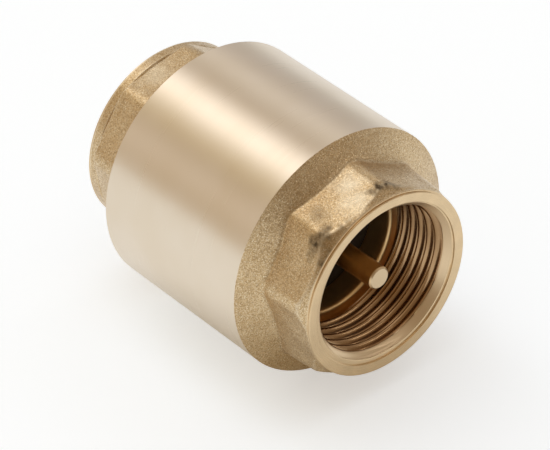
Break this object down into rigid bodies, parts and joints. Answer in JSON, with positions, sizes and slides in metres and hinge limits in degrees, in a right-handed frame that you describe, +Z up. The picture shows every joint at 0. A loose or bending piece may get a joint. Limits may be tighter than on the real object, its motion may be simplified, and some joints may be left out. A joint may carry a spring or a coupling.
{
  "type": "check valve",
  "caption": "In-line spring check valve: two-part brass body with spanner flats, female pipe threads at both ends, guided stem, disc and spring inside.",
  "frame": {"origin": "on the bore axis, half way between the two end faces", "axes": "+X along the bore towards the inlet, so flow runs towards -X; +Z up with a corner of the inlet spanner flats 2.6 degrees from the top; +Y completes the right-handed frame"},
  "size_m": [0.066, 0.052, 0.052],
  "materials": {
    "shell_brass": "barrel turned satin, ends forged and shot blasted, end rings machined",
    "turned_brass": "machined",
    "seal_rubber": "moulded nitrile, matt",
    "stainless_steel": "drawn and stamped"
  },
  "bodies": {
    "shell": {"inlet_body": "shell_brass", "outlet_end": "shell_brass", "body_o_ring": "seal_rubber", "inlet_guide": "turned_brass", "outlet_guide": "turned_brass", "spring": "stainless_steel"},
    "thrust_washer": {"spring_washer": "stainless_steel"},
    "poppet": {"stem": "turned_brass", "valve_disc": "turned_brass", "seat_seal": "seal_rubber", "seal_retainer": "turned_brass", "lock_washer": "stainless_steel", "disc_nut": "stainless_steel"}
  },
  "joints": [
    {"name": "poppet_lift", "type": "slide", "parent": "shell", "child": "thrust_washer", "axis": [-1, 0, 0], "range_m": [0, 0.008], "stiffness_N_per_m": 520, "springref_m": -0.0037, "deforming": ["spring"]},
    {"name": "poppet_spin", "type": "hinge", "parent": "thrust_washer", "child": "poppet", "pos_m": [0, 0, 0], "axis": [1, 0, 0], "continuous": true}
  ]
}
